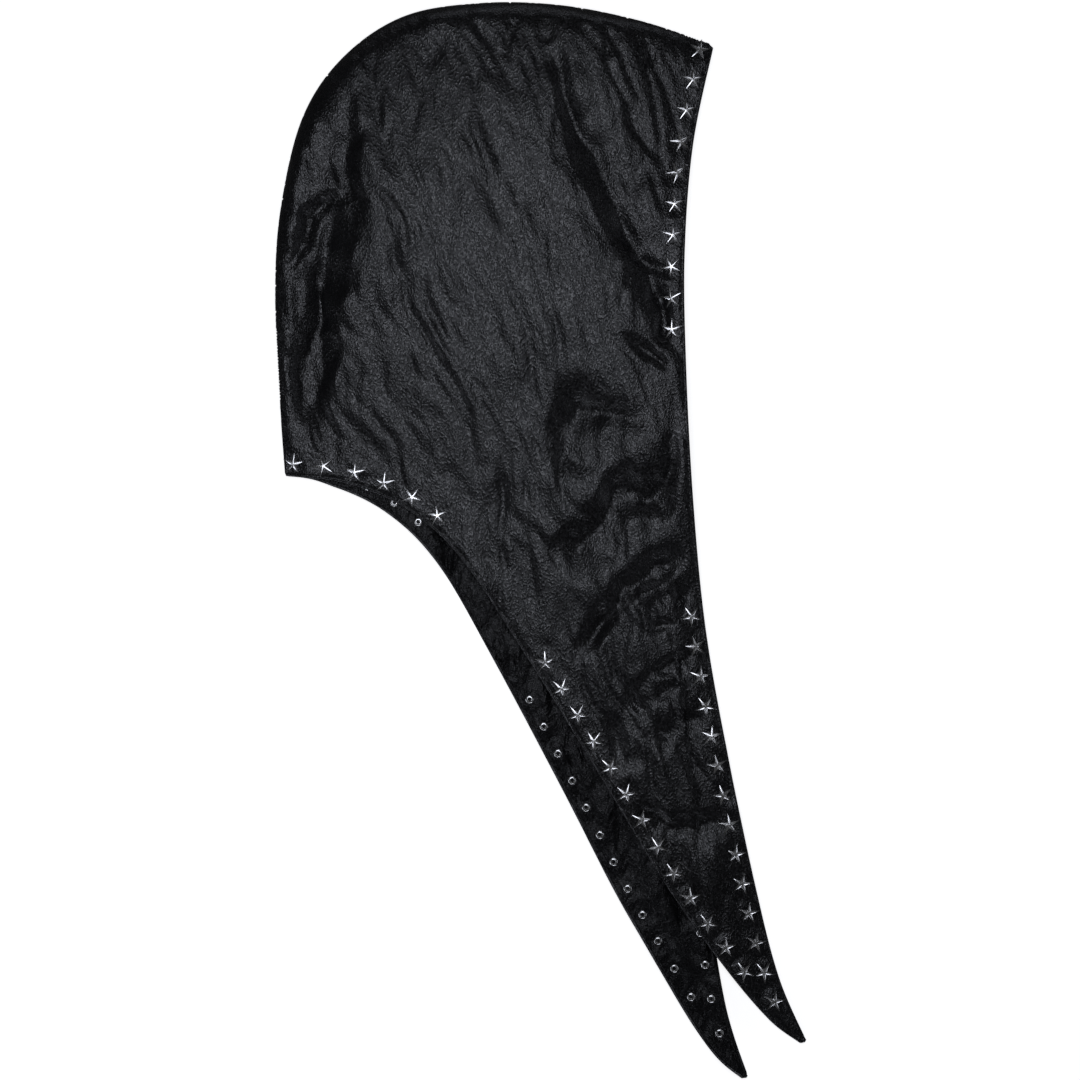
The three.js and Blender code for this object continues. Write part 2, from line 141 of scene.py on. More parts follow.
# Folds pressed into the upper panel: depth, width of the slope to the left and to the right of
# the path as it is drawn, and the path
FOLDS = [
    # back of the head: a step down from the broad plane, and hollows along its foot
    (5.6, 12, 18, [(-100, 224), (-102, 190), (-104, 162), (-107, 138), (-111, 112), (-116, 84),
                   (-114, 60), (-108, 36)]),
    (2.2, 6, 8, [(-94, 212), (-97, 190), (-98, 164)]),
    (3.0, 6, 6, [(-103, 176), (-112, 166), (-120, 156)]),
    (2.6, 4, 5, [(-113, 164), (-120, 146), (-128, 132)]),
    (1.6, 3, 3, [(-106, 158), (-110, 140), (-112, 122)]),
    (2.0, 4, 4, [(-112, 128), (-110, 114), (-107, 102)]),
    (2.6, 9, 9, [(-108, 110), (-112, 92), (-113, 74), (-112, 56)]),
    (2.0, 7, 8, [(-114, 72), (-109, 56), (-106, 38)]),
    # temple
    (2.6, 5, 5, [(2, 249), (10, 228), (19, 206), (26, 190)]),
    (5.0, 14, 10, [(12, 226), (28, 191), (36, 171), (44, 154), (51, 138), (56, 122), (61, 104)]),
    (1.5, 3, 3, [(45, 141), (57, 135), (71, 131)]),
    (3.2, 8, 5, [(55, 130), (60, 112), (64, 92)]),
    (1.1, 4, 2.5, [(40, 218), (49, 202), (62, 186)]),
    (0.9, 3, 3, [(10, 216), (8, 200), (12, 184)]),
    # beside the eye, and along the face edge down to the jaw
    (2.0, 3, 3, [(37, 107), (47, 97), (57, 91), (71, 82)]),
    (4.4, 20, 9, [(77, 92), (74, 74), (74, 56), (68, 38)]),
    # side of the head
    (1.3, 4, 4, [(-80, 162), (-74, 140), (-66, 116), (-56, 100), (-46, 84), (-38, 66), (-36, 44)]),
    (0.9, 3, 3, [(-64, 134), (-52, 110), (-43, 92)]),
    (0.9, 2, 2, [(-26, 46), (-20, 31), (-17, 16), (-18, -6), (-17, -28)]),
    (0.7, 2, 2, [(-13, 18), (-6, 0), (-2, -16)]),
    # cheek: a three-cornered hollow with sharp left and upper sides
    (4.4, 18, 12, [(22, 88), (18, 66), (12, 46), (3, 32)]),
    (2.2, 8, 14, [(10, 68), (24, 66), (40, 61), (57, 52)]),
    # jaw
    (4.8, 24, 11, [(50, 46), (40, 28), (31, 12), (20, -4), (13, -24)]),
    (4.0, 12, 10, [(78, 52), (65, 36), (54, 22), (42, 8)]),
    # chin and top of the tie
    (4.2, 5, 8.5, [(84, -2), (64, -13), (50, -22), (38, -36), (26, -52), (14, -67)]),
    (3.2, 5, 10, [(84, -20), (66, -33), (52, -48)]),
    (3.2, 10, 5, [(82, -58), (66, -66), (52, -74), (38, -86)]),
    # middle and end of the tie
    (2.0, 8, 6, [(76, -62), (74, -90), (77, -112), (86, -138)]),
    (1.8, 5, 8, [(86, -86), (70, -94), (56, -108)]),
    (1.6, 6, 6, [(30, -84), (40, -100), (50, -120)]),
    (3.2, 8, 15, [(36, -135), (56, -142), (72, -143), (94, -141)]),
    (2.0, 6, 6, [(62, -148), (74, -178), (90, -210)]),
    # short pleats where the crown seam draws the leather in
    (0.6, 3, 3, [(-29, 263), (-28, 246), (-25, 226)]),
    (1.0, 2, 4, [(-12, 266), (-14, 252), (-15, 238)]),
    (0.9, 2, 3, [(2, 266), (3, 255), (2, 244)]),
    (0.5, 4, 3, [(24, 264), (22, 248), (21, 234)]),
    (1.2, 5, 3, [(33, 263), (36, 252), (33, 238)]),
    (0.9, 2, 4, [(58, 258), (56, 248), (52, 234)]),
    (0.5, 2.5, 4, [(-49, 263), (-50, 248), (-55, 230)]),
    (0.8, 3, 3, [(-82, 246), (-85, 226), (-82, 202)]),
]

# A fold fades out towards its ends, its floor is rounded and its rim soft. Its path wanders, and
# its width and depth are uneven, each by an amount over a distance along the leather.
FOLD_TAPER = 0.3
FOLD_FLOOR = 0.9
FOLD_CREST = 0.16
FOLD_WANDER = (4.5, 22)
FOLD_RAGGED = (0.45, 14)
FOLD_UNEVEN = (0.45, 21)
FOLD_FROM_EDGE = (3, 12)
FOLD_FROM_SEAM = (2, 12)

# Creases all over washed leather, running down the hood and leaning towards the face. The noise
# stays within 0.7 either way, and the gains stretch a crease from that to about its height.
Crease = namedtuple("Crease", "height length width sharp")
CREASES = [
    Crease(1.3, 80, 38, False),
    Crease(0.7, 48, 13, True),
    Crease(0.4, 25, 7, True),
    Crease(0.19, 12, 3.2, False),
]
CREASE_LEAN = math.radians(17)
RIDGE_GAIN = 2.4
RIDGE_DROP = 0.6
WAVE_GAIN = 1.4
CREASE_BEND = (11, 40)
LOWER_CREASE_GAIN = 2
UPPER_CREASE_FROM_SEAM = (0, 5)
LOWER_CREASE_FROM_SEAM = (0, 6)
TIE_CREASE_GAIN = 1.3
TIE_CREASE_RANGE = (0, -70)
CREASE_NEAR_STUD = (3, 9)
CREASE_SHARE_AT_STUD = 0.3
STUD_DENT = (0.4, 6)

# Gathers along the crown seam: height, length and reach of one, and how the length varies
SEAM_PUCKER = (0.25, 8.5, 9)
PUCKER_SWAY = (2, 17)
PUCKER_RANGE = (0.3, 3)

# Where in the noise each pattern is taken from, so that no two are alike
WANDER_SEEDS = (60.5, 70.5)
RAGGED_SEED = 90.5
UNEVEN_SEED = 80.5
UPPER_CREASE_SEED = 3.5
LOWER_CREASE_SEED = 40.5
CREASE_SEED_STEP = 7.3
TILT_SEEDS = (0.5, 9.5)

# The turned edge: the drop and radius of its rounding, the height and width of its bead, and
# the depth, place and half width of the groove that the stitching draws in
EDGE_ROUND = (0.55, 1.0)
EDGE_BEAD = (0.22, 1.8)
STITCH_GROOVE = (0.3, 1.9, 0.45)

# Mesh points: rows of them along the edges, which carry the bead, the groove and the seam, and
# how near to its distance from the edge a row's point has to be. The rest are a lattice of
# triangles.
RIM_ROWS = (0, 0.35, 0.8, 1.3, 1.9, 2.6, 3.6)
RIM_TOLERANCE = (0.04, 0.03)
LATTICE_ROW = math.sqrt(0.75)
LATTICE_CLEARANCE = 0.6
SAME_POINT = 1e-4
EDGE_SAMPLES = 160
FINE_SAMPLES = 640
FEWEST_SAMPLES = 8
FOLD_SAMPLES = 20
CURVE_STEPS = 60

# The angle between faces, in degrees, past which an edge of each kind of piece looks sharp
SHARP_LEATHER = 55
SHARP_STAR = 12
SHARP_RIVET = 40
SHARP_STITCH = 60

# Rows of studs: first and last place along an edge, on which side of it inward is, how many
# the lower panel leaves out at the row's start, and each star's turn clockwise in degrees
StudRow = namedtuple("StudRow", "edge first last inward left_out turns")
STUD_ROWS = {
    "face_studs": StudRow(
        FACE_EDGE, 2.5, 142, -1, 1, [12, 1, 0, -14, -20, -3, 0, -28, -10, 0],
    ),
    "tie_front_studs": StudRow(
        FACE_EDGE, 285, 481, -1, 0, [36, -16, 5, 31, 5, -12, -20, -7, 8, 13, 5, 12, 32, 8],
    ),
    "nape_studs": StudRow(
        NECK_EDGE, 3.8, 77.8, 1, 1, [7, -20, 5, 6, 36, -7],
    ),
    "tie_back_studs": StudRow(
        NECK_EDGE, 167, 352, 1, 1, [-3, 21, 28, 37, 24, 17, 10, 41, 36, 0, 33, 3, 39],
    ),
}
STUD_INSET = 6.4

# How a stud sits: the ring of places around it that its level is taken from, how much of the
# leather's slope it follows, how deep it is pressed in, and how far it may be tilted
SEAT_RING = 12
STUD_LEVELLED = 0.6
STAR_SEAT = 0.8
STAR_SUNK = 0.35
STAR_TILT = math.radians(8)
TILT_SIZE = 7

# A star, and the narrow flats along its ridges and its rim
STAR_POINTS = 5
STAR_BEVEL = 0.24
STAR_BEVEL_ANGLE = math.radians(25)
FACING_DOWN = -0.9
FULL_TURN = 2 * math.pi - 1e-4

# The rolled rivet's section: radius and height, as shares of the rivet's radius
RIVET_SECTION = [(0.34, -0.1), (0.36, 0.2), (0.5, 0.36), (0.74, 0.36), (0.94, 0.2), (1, -0.1)]
RIVET_SIDES = 14
MERGE_DISTANCE = 1e-6

# A stitch bends down towards its ends. The places of the bends and of the ends are shares of its
# length, their flatness and drop shares of the thread's size.
STITCH_INSET = 1.9
STITCH_MARGINS = (4, 6)
STITCH_PROUD = 0.1
STITCH_SIDES = 6
STITCH_BEND = 0.28
STITCH_END = 0.4
STITCH_END_FLATNESS = 0.6
STITCH_END_DROP = 1.3
STITCH_REST = 1.1


def length_property(name, description, metres):
    """A length that a user can change"""
    return bpy.props.FloatProperty(
        name=name, description=description, default=metres, unit="LENGTH"
    )


def colour_property(name, description, hex_colour):
    """A colour that a user can change"""
    return bpy.props.FloatVectorProperty(
        name=name, description=description, default=linear(hex_colour), size=4, subtype="COLOR"
    )


def linear(hex_colour):
    """An sRGB hex colour as linear RGBA"""
    shares = [int(hex_colour[i : i + 2], 16) / 255 for i in (0, 2, 4)]
    return tuple(
        share / 12.92 if share <= 0.04045 else ((share + 0.055) / 1.055) ** 2.4
        for share in shares
    ) + (1.0,)


class HoodSizes(bpy.types.PropertyGroup):
    """Sizes of the hood's leather and hardware, in metres"""

    leather: length_property("Leather", "Thickness of the leather", 0.0014)
    spacing: length_property("Mesh spacing", "Between the upper panel's mesh points", 0.00145)
    lower_spacing: length_property(
        "Lower mesh spacing", "Between the lower panel's mesh points", 0.0019
    )
    star_radius: length_property("Star radius", "Centre to point of a star", 0.0057)
    star_notch: length_property("Star notch", "Centre to the notch between two points", 0.00175)
    star_rim: length_property("Star rim", "Height of a star's upright rim", 0.0007)
    star_height: length_property("Star height", "Rim to peak of a star", 0.0009)
    rivet_radius: length_property("Rivet radius", "Of the rolled rivet behind a star", 0.00225)
    stitch_length: length_property("Stitch length", "Length of one stitch", 0.0022)
    stitch_pitch: length_property("Stitch pitch", "From one stitch to the next", 0.003)
    thread_radius: length_property("Thread radius", "Radius of the thread", 0.00022)


class HoodColours(bpy.types.PropertyGroup):
    """Colours of the hood's leather, thread and metal, and of the table"""

    leather: colour_property("Leather", "Dyed leather", "0b0b0d")
    leather_worn: colour_property("Worn leather", "Leather where the dye is rubbed", "141416")
    thread: colour_property("Thread", "Sewing thread", "101012")
    metal: colour_property("Metal", "Plating of studs and rivets", "dcdcdb")
    table: colour_property("Table", "The table under the hood", "f4f4f4")


# Curves and heights on the cut, in millimetres


def smooth_line(points, count):
    """A smooth curve through points, as evenly spaced samples"""
    points = np.array(points, float)
    padded = np.vstack([points[:1], points, points[-1:]])
    share = np.linspace(0, 1, CURVE_STEPS, endpoint=False)[:, None]
    pieces = []
    for before, start, end, after in zip(padded, padded[1:], padded[2:], padded[3:]):
        leave = (end - before) / 2
        arrive = (after - start) / 2
        pieces.append(
            start
            + leave * share
            + (3 * (end - start) - 2 * leave - arrive) * share**2
            + (2 * (start - end) + leave + arrive) * share**3
        )
    fine = np.vstack([*pieces, points[-1:]])
    return places_along(fine, np.linspace(0, along(fine)[-1], count + 1))


def along(line):
    """The distance travelled along a line at each of its points"""
    return np.concatenate([[0], np.cumsum(np.hypot(*np.diff(line, axis=0).T))])


def places_along(line, distances):
    """The places at distances along a line"""
    travelled = along(line)
    return np.column_stack([np.interp(distances, travelled, line[:, axis]) for axis in (0, 1)])


def to_left(way):
    """Directions turned a quarter to the left"""
    return np.column_stack([-way[:, 1], way[:, 0]])


def stations(line, distances, inset=0.0):
    """Places at distances along a line, moved inset to its left, and the line's direction"""
    step = along(line)[-1] / (len(line) - 1) / 2
    way = places_along(line, distances + step) - places_along(line, distances - step)
    way /= np.hypot(*way.T)[:, None]
    return places_along(line, distances) + inset * to_left(way), way


def nearest(line, points):
    """From each point the distance to a line, the side it is on, and the share along the line"""
    best = np.full(len(points), np.inf)
    side = np.ones(len(points))
    share = np.zeros(len(points))
    travelled = along(line)
    total = travelled[-1]
    for i, (start, end) in enumerate(zip(line, line[1:])):
        step = end - start
        offset = points - start
        t = np.clip(offset @ step / (step @ step), 0, 1)
        distance = np.hypot(offset[:, 0] - t * step[0], offset[:, 1] - t * step[1])
        closer = distance < best
        best = np.where(closer, distance, best)
        turned = np.sign(step[0] * offset[:, 1] - step[1] * offset[:, 0])
        side = np.where(closer, np.where(turned == 0, 1, turned), side)
        at = (travelled[i] + t * (travelled[i + 1] - travelled[i])) / total
        share = np.where(closer, at, share)
    return best, side, share


def rise(value, start, full):
    """0 at start, 1 at full, whichever is greater, and a smooth rise between them"""
    share = np.clip((value - start) / (full - start), 0, 1)
    return share * share * (3 - 2 * share)


SEAM = smooth_line(CROWN_SEAM, EDGE_SAMPLES)
FACE = smooth_line(FACE_EDGE, EDGE_SAMPLES)
NECK = smooth_line(NECK_EDGE, EDGE_SAMPLES)


def lower_place(points):
    """Where places on the cut lie once the lower tie is swung back"""
    x, y = points.T
    share = rise(y, *SWING_BELOW_CROWN) * rise(nearest(SEAM, points)[0], *SWING_FROM_SEAM)
    extra = LOWER_TIE_EXTRA * rise(y, *LOWER_TIE_EXTRA_RANGE)
    return np.column_stack(
        [
            x + share * SWING * (y - SWING_CENTRE_Y),
            y - share * SWING * SWING_LIFT * (x - SWING_LIFT_CENTRE_X) - extra,
        ]
    )


def upper_place(points):
    """The upper panel lies where it is cut"""
    return points


def stud_places(row):
    """The places of a row's studs on the cut"""
    line = smooth_line(row.edge, FINE_SAMPLES)
    spots = np.linspace(row.first, row.last, len(row.turns))
    return stations(line, spots, row.inward * STUD_INSET)[0]


LOWER_FACE = lower_place(FACE)
UPPER_STUDS = {name: stud_places(row) for name, row in STUD_ROWS.items()}
LOWER_STUDS = {
    name: lower_place(UPPER_STUDS[name][row.left_out :]) for name, row in STUD_ROWS.items()
}


def roll(from_seam):
    """The quarter-round profile of the rolled crown edge"""
    share = np.minimum(from_seam / ROLL_WIDTH, 1)
    return np.sqrt(1 - (1 - share) ** 2)


def scatter(points, size, seed):
    """Smooth noise over the cut, between about -0.7 and 0.7"""
    return np.array([noise.noise((x / size, y / size, seed)) for x, y in points])


def fold_depth(points):
    """How deep the folds press the leather in"""
    far, size = FOLD_WANDER
    shift = np.column_stack([scatter(points, size, seed) for seed in WANDER_SEEDS])
    wandering = points + far * shift
    ragged_by, size = FOLD_RAGGED
    ragged = 1 + ragged_by * scatter(points, size, RAGGED_SEED)
    depth = np.zeros(len(points))
    for deep, left, right, path in FOLDS:
        distance, side, share = nearest(smooth_line(path, FOLD_SAMPLES), wandering)
        width = ragged * np.where(side > 0, left, right)
        taper = rise(np.minimum(share, 1 - share), 0, FOLD_TAPER)
        left_over = 1 - (np.sqrt(distance**2 + FOLD_FLOOR**2) - FOLD_FLOOR) / width
        depth += deep * taper * (left_over + np.hypot(left_over, FOLD_CREST)) / 2
    uneven_by, size = FOLD_UNEVEN
    return depth * (1 + uneven_by * scatter(points, size, UNEVEN_SEED))


def crease_height(points, seed):
    """The fine creases of washed leather"""
    bend, bend_size = CREASE_BEND
    x, y = points.T
    lengthwise = x * math.sin(CREASE_LEAN) - y * math.cos(CREASE_LEAN)
    crosswise = x * math.cos(CREASE_LEAN) + y * math.sin(CREASE_LEAN)
    heights = np.empty(len(points))
    for i, (px, py, down, across) in enumerate(zip(x, y, lengthwise, crosswise)):
        shift = bend * noise.noise((px / bend_size, py / bend_size, seed))
        total = 0.0
        for layer, crease in enumerate(CREASES):
            at = (down / crease.length, (across + shift) / crease.width)
            value = noise.noise((*at, seed + CREASE_SEED_STEP * layer))
            ridge = RIDGE_GAIN * abs(value) - RIDGE_DROP
            total += crease.height * (ridge if crease.sharp else WAVE_GAIN * value)
        heights[i] = total
    return heights


def creases_and_dents(points, studs, seed):
    """A panel's creases, stronger on the tie and held flat by the rivets, and the rivets' dents"""
    centres = np.vstack(list(studs.values()))
    distance = np.min([np.hypot(*(points - centre).T) for centre in centres], axis=0)
    share = CREASE_SHARE_AT_STUD
    calm = share + (1 - share) * rise(distance, *CREASE_NEAR_STUD)
    crumpled = 1 + (TIE_CREASE_GAIN - 1) * rise(points[:, 1], *TIE_CREASE_RANGE)
    dent, reach = STUD_DENT
    return (
        calm * crumpled * crease_height(points, seed),
        dent * np.exp(-((distance / reach) ** 2)),
    )


def pucker(points, from_seam):
    """Small gathers along the crown seam"""
    height, pitch, reach = SEAM_PUCKER
    _, _, share = nearest(SEAM, points)
    travelled = share * along(SEAM)[-1]
    sway, size = PUCKER_SWAY
    wave = np.sin(2 * math.pi * travelled / pitch + sway * np.sin(travelled / size))
    return height * wave * np.exp(-from_seam / reach) * rise(from_seam, *PUCKER_RANGE)


def edge_profile(points):
    """The turned free edge: rounded, with a bead and the groove of its stitching"""
    distance = np.minimum(nearest(FACE, points)[0], nearest(NECK, points)[0])
    drop, radius = EDGE_ROUND
    rounded = drop * (1 - np.sqrt(1 - (1 - np.minimum(distance / radius, 1)) ** 2))
    bead, width = EDGE_BEAD
    beaded = bead * np.sin(math.pi * np.minimum(distance / width, 1))
    groove, at, half_width = STITCH_GROOVE
    return beaded - rounded - groove * np.exp(-(((distance - at) / half_width) ** 2))


def lower_height(placed):
    """The lower panel's outer face, which looks down, at places on the table"""
    from_seam = nearest(SEAM, placed)[0]
    off_face = rise(nearest(FACE, placed)[0], *CORNER_RANGE)
    off_corners = off_face * rise(nearest(NECK, placed)[0], *CORNER_RANGE)
    at_seam = SEAM_HEIGHT - SEAM_HALF_GAP - (1 - off_corners) * wall()
    to_studs = np.min([nearest(line, placed)[0] for line in LOWER_STUDS.values()], axis=0)
    lifted = STUD_LIFT * rise(to_studs, *LIFT_RANGE)
    creases, dents = creases_and_dents(placed, LOWER_STUDS, LOWER_CREASE_SEED)
    creases *= LOWER_CREASE_GAIN * rise(from_seam, *LOWER_CREASE_FROM_SEAM)
    resting = np.maximum(lifted + creases + dents, 0)
    return np.maximum(resting, at_seam * (1 - roll(from_seam)))


def upper_height(points):
    """The upper panel's outer face"""
    from_seam = nearest(SEAM, points)[0]
    from_face = nearest(FACE, points)[0]
    from_neck = nearest(NECK, points)[0]
    off, off_side, _ = nearest(LOWER_FACE, points)

    def from_edges(face_limits, neck_limits):
        return rise(from_face, *face_limits) * rise(from_neck, *neck_limits)

    rolled = roll(from_seam)
    laid = CORNER_TOP + (EDGE_TOP - CORNER_TOP) * rise(from_seam, *EDGE_RANGE)
    seam_drop = CORNER_TOP - SEAM_HEIGHT - SEAM_HALF_GAP
    height = laid - seam_drop * from_edges(CORNER_RANGE, CORNER_RANGE) * (1 - rolled)
    height += CROWN_RISE * from_edges(CROWN_FROM_FACE, CROWN_FROM_NECK) * rolled
    puffed = from_edges(PUFF_FROM_FACE, PUFF_FROM_NECK) * rise(from_seam, *PUFF_FROM_SEAM)
    height += PUFF * puffed
    height += (
        MOUTH
        * rise(points[:, 1], *MOUTH_BELOW_CROWN)
        * rise(points[:, 1], *MOUTH_ABOVE_TIE)
        * rise(from_face, *MOUTH_NEAR_FACE)
        * rise(from_neck, *MOUTH_FROM_NECK)
    )
    height -= TIE_DROOP * rise(off_side * off, *TIE_DROOP_RANGE)
    fade = from_edges(FOLD_FROM_EDGE, FOLD_FROM_EDGE) * rise(from_seam, *FOLD_FROM_SEAM)
    height -= fade * fold_depth(points)
    creases, dents = creases_and_dents(points, UPPER_STUDS, UPPER_CREASE_SEED)
    height += creases * rise(from_seam, *UPPER_CREASE_FROM_SEAM)
    height += pucker(points, from_seam) - dents
    support = lower_height(points) + 2 * wall() + LAYER_GAP
    over_lower = (off_side <= 0) & (from_seam > ROLL_WIDTH)
    lowest = np.where(over_lower, support, wall() + TABLE_GAP)
    return np.maximum(height, lowest)


def wall():
    """The leather's thickness in millimetres"""
    return bpy.context.scene.hood_sizes.leather / MM


# Each panel's outer face looks up, 1, or down, -1
Panel = namedtuple("Panel", "place height studs facing")
PANELS = {
    "right": Panel(upper_place, upper_height, UPPER_STUDS, 1),
    "left": Panel(lower_place, lower_height, LOWER_STUDS, -1),
}


def cut_outline(step):
    """The outline of one panel's cut, run round with the leather on its right"""
    lines = []
    for edge in (NECK_EDGE, FACE_EDGE[::-1], CROWN_SEAM):
        length = along(smooth_line(edge, EDGE_SAMPLES))[-1]
        lines.append(smooth_line(edge, max(FEWEST_SAMPLES, round(length / step))))
    neck, face, seam = lines
    return np.vstack([neck, TIE_POINT]), face, seam


def inside(outline, points):
    """Whether points are within a closed outline"""
    x, y = points.T
    crossed = np.zeros(len(points), bool)
    for (ax, ay), (bx, by) in zip(outline, np.roll(outline, -1, axis=0)):
        if ay == by:
            continue
        spans = (ay > y) != (by > y)
        crossed ^= spans & (x < (bx - ax) * (y - ay) / (by - ay) + ax)
    return crossed


def panel_points(spacing):
    """The points of one panel's mesh on the cut, its outline first, and its triangles"""
    neck, face, seam = cut_outline(spacing)
    outline = np.vstack([neck, face, seam[:-1]])
    closed = np.vstack([outline, outline[:1]])
    least, share = RIM_TOLERANCE
    rows = []
    for line in (neck, face, seam):
        length = along(line)[-1]
        for distance in RIM_ROWS[1:]:
            spots = np.arange(spacing / 2, length, spacing)
            for inset in (distance, -distance):
                row = stations(line, spots, inset)[0]
                row = row[inside(outline, row)]
                error = np.abs(nearest(closed, row)[0] - distance)
                rows.append(row[error < least + share * distance])
    low = outline.min(0)
    high = outline.max(0)
    columns = np.arange(low[0], high[0], spacing)
    lattice_rows = np.arange(low[1], high[1], spacing * LATTICE_ROW)
    lattice = np.vstack(
        [
            np.column_stack([columns + (i % 2) * spacing / 2, np.full(len(columns), y)])
            for i, y in enumerate(lattice_rows)
        ]
    )
    lattice = lattice[inside(outline, lattice)]
    clear = RIM_ROWS[-1] + LATTICE_CLEARANCE * spacing
    lattice = lattice[nearest(closed, lattice)[0] > clear]
    points = np.vstack([outline, *rows, lattice])
    border = [(i, (i + 1) % len(outline)) for i in range(len(outline))]
    found, _, faces, *_ = geometry.delaunay_2d_cdt(
        [Vector(point) for point in points], border, [], 1, SAME_POINT
    )
    return np.array([tuple(point) for point in found]), faces


def raw_object(name, vertices, faces):
    """A mesh object from points in millimetres"""
    mesh = bpy.data.meshes.new(name)
    mesh.from_pydata((np.asarray(vertices) * MM).tolist(), [], faces)
    mesh.validate()
    piece = bpy.data.objects.new(name, mesh)
    bpy.context.collection.objects.link(piece)
    return piece


def select_only(piece):
    """Makes a piece the one that operators act on"""
    bpy.ops.object.select_all(action="DESELECT")
    piece.select_set(True)
    bpy.context.view_layer.objects.active = piece


def apply_modifiers(piece):
    """Applies a piece's modifiers in order"""
    select_only(piece)
    for modifier in list(piece.modifiers):
        bpy.ops.object.modifier_apply(modifier=modifier.name)


def finish_piece(piece, sharp_angle, node=None):
    """Shades a finished piece smoothly, apart from edges sharper than an angle in degrees,
    puts it on its body, and hides the CAD node it stands for"""
    select_only(piece)
    bpy.ops.object.shade_smooth_by_angle(angle=math.radians(sharp_angle))
    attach(piece, BODY)
    if node:
        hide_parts(node)


def leather_panel(side, spacing):
    """One panel as a wall of leather, laid over its half of the head"""
    place, height, _, facing = PANELS[side]
    cut, faces = panel_points(spacing)
    from_seam, _, share = nearest(SEAM, cut)
    placed = place(cut)
    level = height(placed) + facing * edge_profile(cut)
    seam = from_seam <= ON_SEAM
    lip = ~seam & (from_seam < SEAM_LIP_WIDTH)
    middle, way = stations(SEAM, share * along(SEAM)[-1])
    outward = to_left(way)
    outward *= -np.sign((outward * (placed.mean(0) - middle)).sum(1))[:, None]
    shift = np.where(lip, from_seam, 0) - np.where(seam, SEAM_FOLD_IN, 0)
    placed = placed + outward * shift[:, None]
    level = np.where(lip, SEAM_HEIGHT + facing * SEAM_LIP, level)
    level = np.where(seam, SEAM_HEIGHT + facing * SEAM_APART, level)
    if facing < 0:
        level = np.maximum(level, 0)
        faces = [face[::-1] for face in faces]
    piece = raw_object(f"{side}_leather", np.column_stack([placed, level]), faces)
    give_material(piece, "washed black leather")
    give_material(piece, "buffed leather flesh side")
    solidify = piece.modifiers.new("Wall", "SOLIDIFY")
    solidify.thickness = bpy.context.scene.hood_sizes.leather
    solidify.offset = -1
    solidify.use_quality_normals = True
    solidify.material_offset = 1
    apply_modifiers(piece)
    return piece


def surface_frame(at, turn, height, facing, reach, lift):
    """The frame of a small piece on a panel's face, in metres: its X, Y and outward Z"""
    angles = np.linspace(0, 2 * math.pi, SEAT_RING, endpoint=False)
    ring = at + reach * np.column_stack([np.cos(angles), np.sin(angles)])
    levels = height(np.vstack([ring, at[None, :]]))
    slope_x = 2 * np.mean(levels[:-1] * np.cos(angles)) / reach
    slope_y = 2 * np.mean(levels[:-1] * np.sin(angles)) / reach
    level = STUD_LEVELLED
    normal = Vector((-slope_x * level, -slope_y * level, 1)).normalized() * facing
    flat = np.mean(levels)
    tilt_x = slope_x * reach * np.cos(angles)
    tilt_y = slope_y * reach * np.sin(angles)
    above = facing * (levels[:-1] - flat - tilt_x - tilt_y)
    up = Vector((math.sin(turn), math.cos(turn), 0))
    up = (up - up.dot(normal) * normal).normalized()
    across = up.cross(normal)
    centre = Vector((*at, flat)) + normal * (float(above.max()) + lift)
    seat = Matrix((across, up, normal)).transposed().to_4x4()
    seat.translation = centre * MM
    return seat


def joined_copies(name, model, frames):
    """One object with a copy of the model's mesh at each frame"""
    mesh = model.data
    co = np.empty(len(mesh.vertices) * 3)
    mesh.vertices.foreach_get("co", co)
    co = co.reshape(-1, 3)
    faces = [tuple(face.vertices) for face in mesh.polygons]
    vertices = []
    copied = []
    for seat in frames:
        matrix = np.array(seat)
        start = len(vertices) * len(co)
        vertices.append(co @ matrix[:3, :3].T + matrix[:3, 3])
        copied += [tuple(start + corner for corner in face) for face in faces]
    return raw_object(name, np.vstack(vertices) / MM, copied)


def star_model():
    """A cast star: five ridged arms on a low rim, its back open to the leather"""
    sizes = bpy.context.scene.hood_sizes
    bpy.ops.mesh.primitive_cone_add(
        vertices=2 * STAR_POINTS,
        radius1=sizes.star_radius,
        radius2=0,
        depth=sizes.star_height,
        end_fill_type="NGON",
        location=(0, 0, sizes.star_height / 2),
    )
    star = bpy.context.active_object
    bpy.ops.object.transform_apply(location=True, rotation=True, scale=True)
    shape = bmesh.new()
    shape.from_mesh(star.data)
    shape.verts.ensure_lookup_table()
    rim = sorted(
        (vertex for vertex in shape.verts if vertex.co.z < sizes.star_height / 2),
        key=lambda vertex: math.atan2(vertex.co.x, vertex.co.y) % FULL_TURN,
    )
    for vertex in rim[1::2]:
        vertex.co.xy = vertex.co.xy.normalized() * sizes.star_notch
    shape.to_mesh(star.data)
    shape.free()
    bpy.ops.object.mode_set(mode="EDIT")
    bpy.ops.mesh.select_mode(type="FACE")
    bpy.ops.mesh.select_all(action="DESELECT")
    bpy.ops.object.mode_set(mode="OBJECT")
    for face in star.data.polygons:
        face.select = face.normal.z < FACING_DOWN
    bpy.ops.object.mode_set(mode="EDIT")
    bpy.ops.mesh.extrude_region_move(
        TRANSFORM_OT_translate={"value": (0, 0, -sizes.star_rim)}
    )
    bpy.ops.object.mode_set(mode="OBJECT")
    bevel = star.modifiers.new("Ridges", "BEVEL")
    bevel.width = STAR_BEVEL * MM
    bevel.segments = 1
    bevel.limit_method = "ANGLE"
    bevel.angle_limit = STAR_BEVEL_ANGLE
    apply_modifiers(star)
    return star


